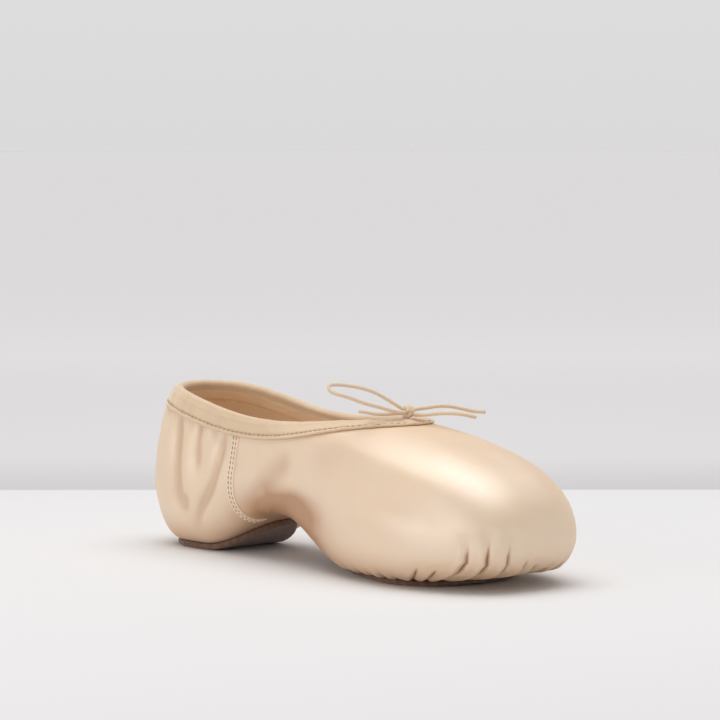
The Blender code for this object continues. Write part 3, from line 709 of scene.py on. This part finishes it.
def thread_finish(name, colour):
    """Twisted sewing thread."""
    made, place, shader = finish(name, {"Sheen Weight": 0.2, "Specular IOR Level": 0.4})
    ply = place.bands("DIAGONAL", 900)
    feed(shader, "Base Color", (ply * 0.5).tint(colour, toned(colour, 0.62)))
    feed(shader, "Roughness", 0.5 + 0.2 * ply)
    feed(shader, "Normal", ply.bump(0.4, 0.0001))
    return made


seam_thread = thread_finish("seam thread", (0.36, 0.23, 0.13))
for side, node in ((1, "side_seam_left"), (-1, "side_seam_right")):
    row, down, rows_per_metre = seam_line(side, np.linspace(0, 1, SEAM_STEPS + 1))
    strip = np.stack([each_place(row + across * SEAM_WIDTH / 2 * rows_per_metre, down, offset)
                      for across, offset in SEAM_SECTION], axis=1)
    add_piece(node + "_strip", strip, tube_faces(*strip.shape[:2]), (satin,), (node,))
    length = down[-1] - down[0]
    places = np.arange(int(length / SEAM_STITCH_SPACING))[:, None] * SEAM_STITCH_SPACING
    places = places + [0.15 * SEAM_STITCH_SPACING, 0.15 * SEAM_STITCH_SPACING + SEAM_STITCH]
    row, down, rows_per_metre = seam_line(side, places.ravel() / length)
    ends = []
    for across in (-1, 1):
        ends += stitch_ends(row + across * STITCH_ROWS_APART / 2 * rows_per_metre, down,
                            SEAM_THICKNESS * 0.75, SEAM_THICKNESS * 2)
    stitches(node + "_stitches", ends, 0.00020, seam_thread)

# ---- Collar binding ------------------------------------------------------------------------------
# A cotton tape folded over the raw rim, round the drawstring, and stitched down through the satin
# near its lower edge, whose turned lip stands a little proud. The drawstring gathers it softly.
BINDING_COLOUR, BINDING_RUBBED = (0.74, 0.560, 0.375), (0.60, 0.41, 0.25)
BINDING_LINING_WIDTH, CASING_RADIUS = 0.0075, 0.0017
STITCH_UP, BINDING_STITCH, BINDING_STITCH_SPACING = 0.0017, 0.0015, 0.0026
at = spread_rows(0.9, 1.1)
rim_points = rib_rows(at)[0]
inner_face = -wall(rim_points[:, 0])
rim_place = length_along(rim_points) / MM
rim_place = rim_place - np.interp(HALF_ROWS, at, rim_place)
# The tape's section: each point's distance down from the rim and its offset from the satin, up the
# outside from the turned lip, over the casing, down the lining and back between the two.
section = [(BINDING_WIDTH * share, GAP + BINDING_THICKNESS * proud) for share, proud in (
    (1.0, 0.0), (1.015, 0.5), (1.0, 0.95), (0.955, 1.15), (0.90, 1.10), (0.86, 0.95),
    (0.825, 0.62), (0.80, 0.50), (0.775, 0.62), (0.74, 0.92), (0.68, 1.05),
    (0.60, 1.05), (0.52, 1.02), (0.44, 1.05), (0.36, 1.12), (0.28, 1.25), (0.20, 1.45))]
LIP_POINTS, FACE_POINTS, LINING_POINTS, HIDDEN_POINTS = 5, len(section), 6, 3
for turn in range(-18, 199, 12):
    angle = math.radians(turn)
    section.append((-CASING_RADIUS * math.sin(angle),
                    inner_face / 2 + CASING_RADIUS * math.cos(angle)))
section += [(BINDING_LINING_WIDTH * share, inner_face - 1.2 * GAP - BINDING_THICKNESS * proud)
            for share, proud in (
                (0.25, 1.3), (0.5, 1.0), (0.8, 1.0), (0.94, 0.95), (1.0, 0.5), (1.0, 0.0))]
section += [(-GAP, inner_face - GAP), (-GAP, 0.6 * GAP), (0.5 * BINDING_WIDTH, 0.6 * GAP)]
down, offset = (np.stack([np.broadcast_to(row[k], at.shape) for row in section], axis=1)
                for k in (0, 1))


def gathers(place):
    """The uneven swell of the gathered tape, about -1 to 1, by millimetres along the rim."""
    return (0.5 * np.sin(place / 1.25 + 0.8 * np.sin(place / 7.3))
            + 0.35 * np.sin(place / 2.1 + 1.3)
            + 0.3 * np.sin(place / 0.83 + 2.0 * np.sin(place / 11.0)))


# The tape is gathered most at the throat and round the heel.
from_throat = np.abs(rim_place)
gathered = 0.7 * smooth_step((from_throat - 75) / 35) + 1.3 * smooth_step((30 - from_throat) / 18)
where = np.arange(len(section))
swell = np.where(where < FACE_POINTS, np.sin(math.pi * (where + 1) / (FACE_POINTS + 6)), 0.5)
swell = np.where(where >= len(section) - HIDDEN_POINTS - 2, 0, swell)
offset = offset + (gathers(rim_place) * (0.00014 + 0.00026 * gathered))[:, None] * swell
lip = (0.00020 * gathers(rim_place * 1.7) * gathered)[:, None]
ring = place_on(at, down + np.where(where < LIP_POINTS, lip, 0), offset, with_folds=False)


def tape_finish(name):
    """Matte cotton twill tape, a little fuzzy."""
    made, place, shader = finish(name, {
        "Sheen Weight": 0.35, "Sheen Roughness": 0.6, "Specular IOR Level": 0.3})
    twill = place.scaled(1, 1, -1).bands("DIAGONAL", 520, 0.8, 1.0)
    rubbed = place.noise(70, 4).stretch(0.35, 0.7)
    fuzz = place.noise(1800, 2)
    colour = (rubbed * 0.35).tint(BINDING_COLOUR, BINDING_RUBBED)
    feed(shader, "Base Color", (twill * 0.12).tint(colour, THREAD_SHADE))
    feed(shader, "Roughness", 0.68 + 0.15 * fuzz + 0.05 * twill)
    feed(shader, "Normal", (twill * 0.6 + fuzz * 0.6).bump(0.30, 0.00015))
    return made


lining_end = len(section) - HIDDEN_POINTS
is_lining = [int(lining_end - LINING_POINTS <= k < lining_end) for k in where] * len(at)
add_piece("collar_tape", ring, grid_faces(len(at), len(section), wrap_rows=True, wrap_steps=True),
          (tape_finish("cotton binding"), lining), ("collar_binding",), sides=is_lining)
stitch_rail = length_along(ring[:, 8])
places = np.arange(int(stitch_rail[-1] / BINDING_STITCH_SPACING))[:, None] * BINDING_STITCH_SPACING
places = places + [0.2 * BINDING_STITCH_SPACING, 0.2 * BINDING_STITCH_SPACING + BINDING_STITCH]
ends = stitch_ends(np.interp(places.ravel(), stitch_rail, at), BINDING_WIDTH - STITCH_UP,
                   GAP + BINDING_THICKNESS * 0.80, GAP + BINDING_THICKNESS * 2.5, with_folds=False)
stitches("collar_stitches", ends, 0.00024, thread_finish("binding thread", (0.56, 0.38, 0.23)))

# ---- Heel pad and forefoot sole ------------------------------------------------------------------
# Two brown suede pieces, cut flat, glued and stitched under the satin, with pale slanting scuffs,
# and the heel pad's side is crossed by slanting wrinkles.
HEEL_PAD_OUTLINE = ((0.00, 0.00), (0.04, 0.50), (0.22, 0.91), (0.48, 1.00), (0.76, 0.80),
                    (0.94, 0.42), (1.00, 0.00))
SOLE_OUTLINE = ((0.00, 0.00), (0.03, 0.27), (0.17, 0.50), (0.36, 0.66), (0.56, 0.89),
                (0.74, 1.00), (0.89, 0.80), (0.975, 0.42), (1.00, 0.00))
SOLE_RING_POINTS, SOLE_RINGS, EDGE_ROUND = 360, 26, 0.00065


def sole_outline(rows, start, length, width):
    at = np.linspace(0, 2 * (len(rows) - 1), SOLE_RING_POINTS, endpoint=False)
    shares = on_ring(mirrored(rows, [1]), at)
    outline = np.column_stack([start + shares[:, 0] * length, shares[:, 1] * width / 2])
    closed = np.vstack([outline, outline[:1]])
    far = length_along(closed)
    even = np.linspace(0, far[-1], SOLE_RING_POINTS, endpoint=False)
    return np.column_stack([np.interp(even, far, closed[:, axis]) for axis in range(2)])


def suede_finish(name, colour, pale):
    """Napped suede, cloudy, with pale flecks of nap and pale slanting scuffs."""
    made, place, shader = finish(name, {
        "Sheen Weight": 0.20, "Sheen Roughness": 0.7, "Specular IOR Level": 0.2})
    nap = place.noise(900, 4, 0.6)
    cloud = place.noise(90, 4).stretch(0.3, 0.7)
    scuffs = place.scaled(1, 1, 0.35, (0.0, 0.6, 0.0)).noise(420, 3).stretch(0.5, 0.72)
    base = (cloud * 0.5).tint(colour, toned(colour, 0.62))
    base = (scuffs * 0.35).tint(base, pale)
    feed(shader, "Base Color", (nap.stretch(0.4, 0.8) * 0.25).tint(base, pale))
    feed(shader, "Roughness", 0.85 + 0.1 * nap)
    feed(shader, "Normal", (nap + scuffs * 0.8).bump(0.5, 0.0003))
    return made


suede = suede_finish("brown suede", (0.15, 0.070, 0.040), (0.36, 0.21, 0.13))


def leather_plate(node, rows, start, length, width, thickness, wrinkle):
    """A leather piece that follows the shoe's underside: rings from the middle of its bottom face,
    out over its edge and back to the middle of its top face."""
    outline = sole_outline(rows, start, length, width)
    middle = np.column_stack([np.clip(outline[:, 0], start + 0.3 * length, start + 0.7 * length),
                              0 * outline[:, 0]])
    ahead = np.roll(outline, -1, axis=0) - np.roll(outline, 1, axis=0)
    inward = np.stack([ahead[:, 1], -ahead[:, 0]], axis=1)
    inward /= np.linalg.norm(inward, axis=1, keepdims=True)
    far = np.arange(len(outline)) * np.linalg.norm(np.diff(outline, axis=0), axis=1).mean() / MM
    face = outline + EDGE_ROUND * inward - middle
    rings = [(middle + face * share, 0) for share in np.linspace(0, 1, SOLE_RINGS)[:-1]]
    for turn in range(-90, 91, 15):
        angle = math.radians(turn)
        rings.append((outline + EDGE_ROUND * (1 - math.cos(angle)) * inward,
                      thickness / 2 * (1 + math.sin(angle))))
    rings += [(middle + face * share, thickness) for share in np.linspace(1, 0, SOLE_RINGS)[1:]]
    points = []
    for flat, up in rings:
        wave = np.sin(far / 0.55 + up * 900) * 0.6 + np.sin(far / 0.9 - up * 600) * 0.4
        side_wave = wrinkle * wave * math.sin(math.pi * min(up / thickness, 1))
        pushed = flat + inward * side_wave[:, None]
        points.append(np.column_stack([pushed, arch(pushed[:, 0]) + up]) - MIDDLE)
    faces = grid_faces(len(points), SOLE_RING_POINTS, wrap_steps=True)
    add_piece(node + "_suede", points, faces, (suede,), (node,))


leather_plate("heel_pad", HEEL_PAD_OUTLINE, HEEL_PAD_SET_IN, HEEL_PAD_LENGTH, HEEL_PAD_WIDTH,
              HEEL_PAD_THICKNESS, wrinkle=0.00016)
leather_plate("forefoot_sole", SOLE_OUTLINE, SOLE_START, SOLE_LENGTH, SOLE_WIDTH, SOLE_THICKNESS,
              wrinkle=0.00003)

# ---- Insole and the lining's seam ----------------------------------------------------------------
# A canvas sock glued over the shank board, and a narrow taped seam along the inside of the lining.
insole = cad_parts["insole"]
insole.data.materials.clear()
insole.data.materials.append(canvas_finish("insole canvas", (0.80, 0.58, 0.38)))
SEAM_TAPE_DOWN, SEAM_TAPE_WIDTH, SEAM_TAPE_ROWS = 0.0165, 0.0034, 8.5
at = spread_rows(2.0, 1.5)
at = np.concatenate([at[at > ROWS - SEAM_TAPE_ROWS], at[at < SEAM_TAPE_ROWS]])
inner_face = -wall(rib_rows(at)[0][:, 0])
profile = np.array((
    (-0.5, -0.00005), (-0.42, -0.00045), (-0.15, -0.00062), (0.15, -0.00062), (0.42, -0.00045),
    (0.5, -0.00005), (0.3, 0.0002), (-0.3, 0.0002)))
strip = place_on(at, SEAM_TAPE_DOWN + profile[:, 0] * SEAM_TAPE_WIDTH,
                 inner_face[:, None] + profile[:, 1], with_folds=False)
add_piece("lining_seam_tape", strip, tube_faces(*strip.shape[:2]),
          (canvas_finish("seam tape", (0.88, 0.68, 0.46)),))

# ---- Drawstring bow ------------------------------------------------------------------------------
# One covered elastic cord leaves the casing at the throat and is tied in a small bow: two tails,
# each with a loop, held by a knot, and cut off plain.
CORD_DIAMETER, KNOT_RADIUS, KNOT_SET_FORWARD = 0.0015, 0.0026, 0.0020
KNOT = np.array([SHOE_LENGTH / 2 - VAMP_LENGTH + KNOT_SET_FORWARD, 0,
                 THROAT_HEIGHT + GAP + BINDING_THICKNESS + GAP + KNOT_RADIUS])
# A heading in degrees, then millimetres along it, to its left and up, from the middle of the knot.
BOW_RIGHT_LOOP = (-110, (
    (2.8, -0.6, 1.4), (7.7, -1.0, 4.4), (13.0, -1.4, 7.4), (19.3, -1.6, 9.6), (27.0, -1.5, 11.0),
    (31.0, -1.2, 11.3), (32.8, -0.7, 11.0), (33.5, 0.1, 9.9), (32.7, 0.9, 8.6), (31.0, 1.3, 7.9),
    (26.2, 1.6, 6.5), (20.0, 1.6, 4.2), (12.3, 1.4, 2.0), (7.7, 1.3, 0.7), (2.9, 1.2, -0.2)))
BOW_RIGHT_END = (-139, (
    (3.0, -0.4, -0.8), (7.0, -0.2, -1.1), (10.5, 0.0, -1.2), (14.0, 0.0, -1.0), (17.0, 0.2, -0.4),
    (19.6, 0.4, -0.2)))
BOW_LEFT_LOOP = (45, (
    (2.9, -1.1, -1.0), (7.1, -2.2, -1.1), (12.8, -2.9, -0.5), (18.5, -3.0, -0.6),
    (22.9, -2.4, -1.2), (25.1, -1.7, -1.8), (26.0, -0.1, -2.1), (25.2, 1.5, -1.9),
    (23.2, 2.2, -1.5), (18.5, 2.4, -0.9), (12.8, 2.0, -0.8), (7.1, 1.2, -1.4), (2.8, 0.9, -1.4)))
BOW_LEFT_END = (63, (
    (3.0, 0.9, 0.6), (7.4, 1.0, 1.1), (13.3, 0.9, 1.7), (17.8, 0.8, 1.4), (22.1, 0.6, 0.5),
    (26.7, 0.4, -0.6), (31.5, 0.3, -1.0)))


def bow_points(heading, rows):
    angle = math.radians(heading)
    ahead, left = (math.cos(angle), math.sin(angle), 0), (-math.sin(angle), math.cos(angle), 0)
    return KNOT + np.array(rows) @ np.array((ahead, left, (0, 0, 1))) * MM


def cord_finish(name, colour):
    """Cotton braided round elastic: a fine plait and a soft bloom of fibres."""
    made, place, shader = finish(name, {
        "Sheen Weight": 0.5, "Sheen Roughness": 0.5, "Specular IOR Level": 0.35})
    plait = place.bands("DIAGONAL", 620, 2.0, 1.0)
    fuzz = place.noise(2200, 2)
    feed(shader, "Base Color", (plait * 0.35).tint(colour, toned(colour, 0.72)))
    feed(shader, "Roughness", 0.6 + 0.2 * fuzz)
    feed(shader, "Normal", (plait + fuzz * 0.5).bump(0.5, 0.0002))
    return made


elastic = cord_finish("drawstring elastic", (0.84, 0.66, 0.48))


def add_cord(name, route, radius, nodes):
    """A round cord along a route, cut off at both ends."""
    around = 12
    forward = np.gradient(route, axis=0)
    forward /= np.linalg.norm(forward, axis=1, keepdims=True)
    up = np.array([0.0, 0.0, 1.0] if abs(forward[0][2]) < 0.9 else [1.0, 0.0, 0.0])
    points = []
    for centre, ahead in zip(route, forward):
        up = up - ahead * np.dot(up, ahead)
        up /= np.linalg.norm(up)
        points += circle(centre, up, np.cross(ahead, up), radius, around)
    return add_piece(name, points, tube_faces(len(route), around), (elastic,), nodes)


# Each tail's way into the knot, its loop, its way through the knot, its end, and its solids.
tails = (
    ("bow_tail_right_loop",
     ((-1.6, -1.3, -2.5), (-0.7, -0.8, -1.5), (-0.2, -0.7, -0.1), (-0.6, -1.3, 0.9)),
     BOW_RIGHT_LOOP, (0.3, 0.0, 0.1), BOW_LEFT_END, ("bow_loop_right_side", "bow_end_left_side")),
    ("bow_tail_left_loop", ((-1.6, 1.3, -2.5), (-0.9, 0.9, -1.7), (0.5, 0.8, -1.1)),
     BOW_LEFT_LOOP, (-0.5, 0.5, -1.1), BOW_RIGHT_END, ("bow_loop_left_side", "bow_end_right_side")),
)
for name, into_knot, loop, through_knot, end, nodes in tails:
    exit_point = KNOT + np.array(into_knot[0]) * MM
    route = np.vstack([KNOT + np.array(into_knot) * MM, bow_points(*loop),
                       KNOT + np.array(through_knot) * MM, bow_points(*end)])
    route = smooth_route(route, 0.0007)
    cord = add_cord(name, route, CORD_DIAMETER / 2, nodes)
    float(length_along(route)[-1])

WRAP_POINTS, POINTS_A_TURN, WRAP_RADIUS = 64, 26, 0.00085
turn = 2 * math.pi * np.arange(WRAP_POINTS) / POINTS_A_TURN
wraps = KNOT + np.column_stack([0.0016 * np.cos(turn), np.linspace(-0.0015, 0.0015, WRAP_POINTS),
                                0.0017 * np.sin(turn)])
knot = add_cord("bow_knot_wraps", wraps, WRAP_RADIUS, ("bow_knot",))

# ---- Floor, light and camera ---------------------------------------------------------------------
# A pale sheet of paper on a grey floor, whose grey is painted darker next to the paper as painted
# shade and paler far off as painted light; one wide soft light above and a soft fill from the
# front.
# The camera stands 48 degrees round from the right side, a little above the shoe.
AZIMUTH, ELEVATION, DISTANCE = math.radians(48), math.radians(6.5), 1.2
LENS, SENSOR, PIXELS = 150.0, 36, 720
SHOE_MIDDLE, SHOE_PIXEL = np.array([0, 0, 0.030]), (350, 488)
FOCAL = PIXELS * LENS / SENSOR


def set_up(name, data, place, target):
    """Puts a camera or a light at a place and points it at a target."""
    made = bpy.data.objects.new(name, data)
    made.location = place
    made.rotation_mode = "QUATERNION"
    made.rotation_quaternion = (Vector(target) - Vector(place)).to_track_quat("-Z", "Y")
    bpy.context.scene.collection.objects.link(made)
    return made


back = np.array([math.sin(AZIMUTH) * math.cos(ELEVATION), -math.cos(AZIMUTH) * math.cos(ELEVATION),
                 math.sin(ELEVATION)])
right = np.array([math.cos(AZIMUTH), math.sin(AZIMUTH), 0])
aim = (SHOE_MIDDLE + right * (PIXELS / 2 - SHOE_PIXEL[0]) / FOCAL * DISTANCE
       + np.cross(back, right) * (SHOE_PIXEL[1] - PIXELS / 2) / FOCAL * DISTANCE)
lens = bpy.data.cameras.new("camera")
lens.lens, lens.sensor_width = LENS, SENSOR
bpy.context.scene.camera = set_up("camera", lens, SHOE_MIDDLE + back * DISTANCE, aim)

PAPER_BEHIND, PAPER_EDGE, WALL_SHADE, WALL_END = 0.253, 0.006, 0.16, 1.2
away = (-math.sin(AZIMUTH), math.cos(AZIMUTH), 0)
floor_mesh = bpy.data.meshes.new("floor")
floor_mesh.from_pydata([(-90, -90, 0), (90, -90, 0), (90, 90, 0), (-90, 90, 0)], [], [(0, 1, 2, 3)])
floor = bpy.data.objects.new("floor", floor_mesh)
bpy.context.scene.collection.objects.link(floor)
made, place, shader = finish("pale floor", {"Specular IOR Level": 0.15})
behind = place.node("VectorMath", {"operation": "DOT_PRODUCT"}, {0: place, 1: away}, 1)
# Painted shade and light on the grey: darkest at the paper's edge, then paler with distance to make
# up for the top light's fall-off.
grey_painted_light_and_shade = behind.stretch(PAPER_BEHIND, PAPER_BEHIND + WALL_SHADE).tint(
    (0.60, 0.595, 0.60), (0.76, 0.755, 0.76))
grey_painted_light_and_shade = behind.stretch(PAPER_BEHIND + WALL_SHADE, WALL_END).tint(grey_painted_light_and_shade, (0.99, 0.98, 0.985))
feed(shader, "Base Color", behind.stretch(PAPER_BEHIND, PAPER_BEHIND + PAPER_EDGE).tint(
    (0.80, 0.80, 0.80), grey_painted_light_and_shade))
feed(shader, "Roughness", 0.75 + 0.1 * place.noise(30, 2))
floor_mesh.materials.append(made)

# The room is bright low down and overhead, with a dimmer band between, which shapes the satin.
world = bpy.data.worlds.new("studio")
bpy.context.scene.world = world
world.use_nodes = True
heading = Shade(world.node_tree.nodes.new("ShaderNodeTexCoord").outputs["Generated"])
room = heading.node("ValToRGB", {"stops": (
    (0.00, (0.708, 0.702, 0.706)), (0.22, (0.80, 0.79, 0.79)), (0.40, (0.42, 0.415, 0.42)),
    (0.76, (0.38, 0.375, 0.38)), (0.90, (1.10, 1.09, 1.08)), (1.00, (1.90, 1.88, 1.86)))},
    {0: heading.node("SeparateXYZ", {}, {0: heading}, 2)})
feed(world.node_tree.nodes["Background"], "Color", room)
bpy.context.scene.view_settings.view_transform = "Standard"

for name, place, target, size, power, colour in (
        ("top_light", (-0.04, 0.05, 0.75), (0.03, 0, 0.03), (1.05, 0.62), 2.7, (1.0, 0.98, 0.99)),
        ("front_fill", (-0.10, -1.20, 0.35), (0, 0, 0.03), (0.8, 0.45), 2.4, (1.0, 0.97, 0.93))):
    light = bpy.data.lights.new(name, "AREA")
    light.shape, light.size, light.size_y = "RECTANGLE", *size
    light.energy, light.color = power, colour
    set_up(name, light, place, target)
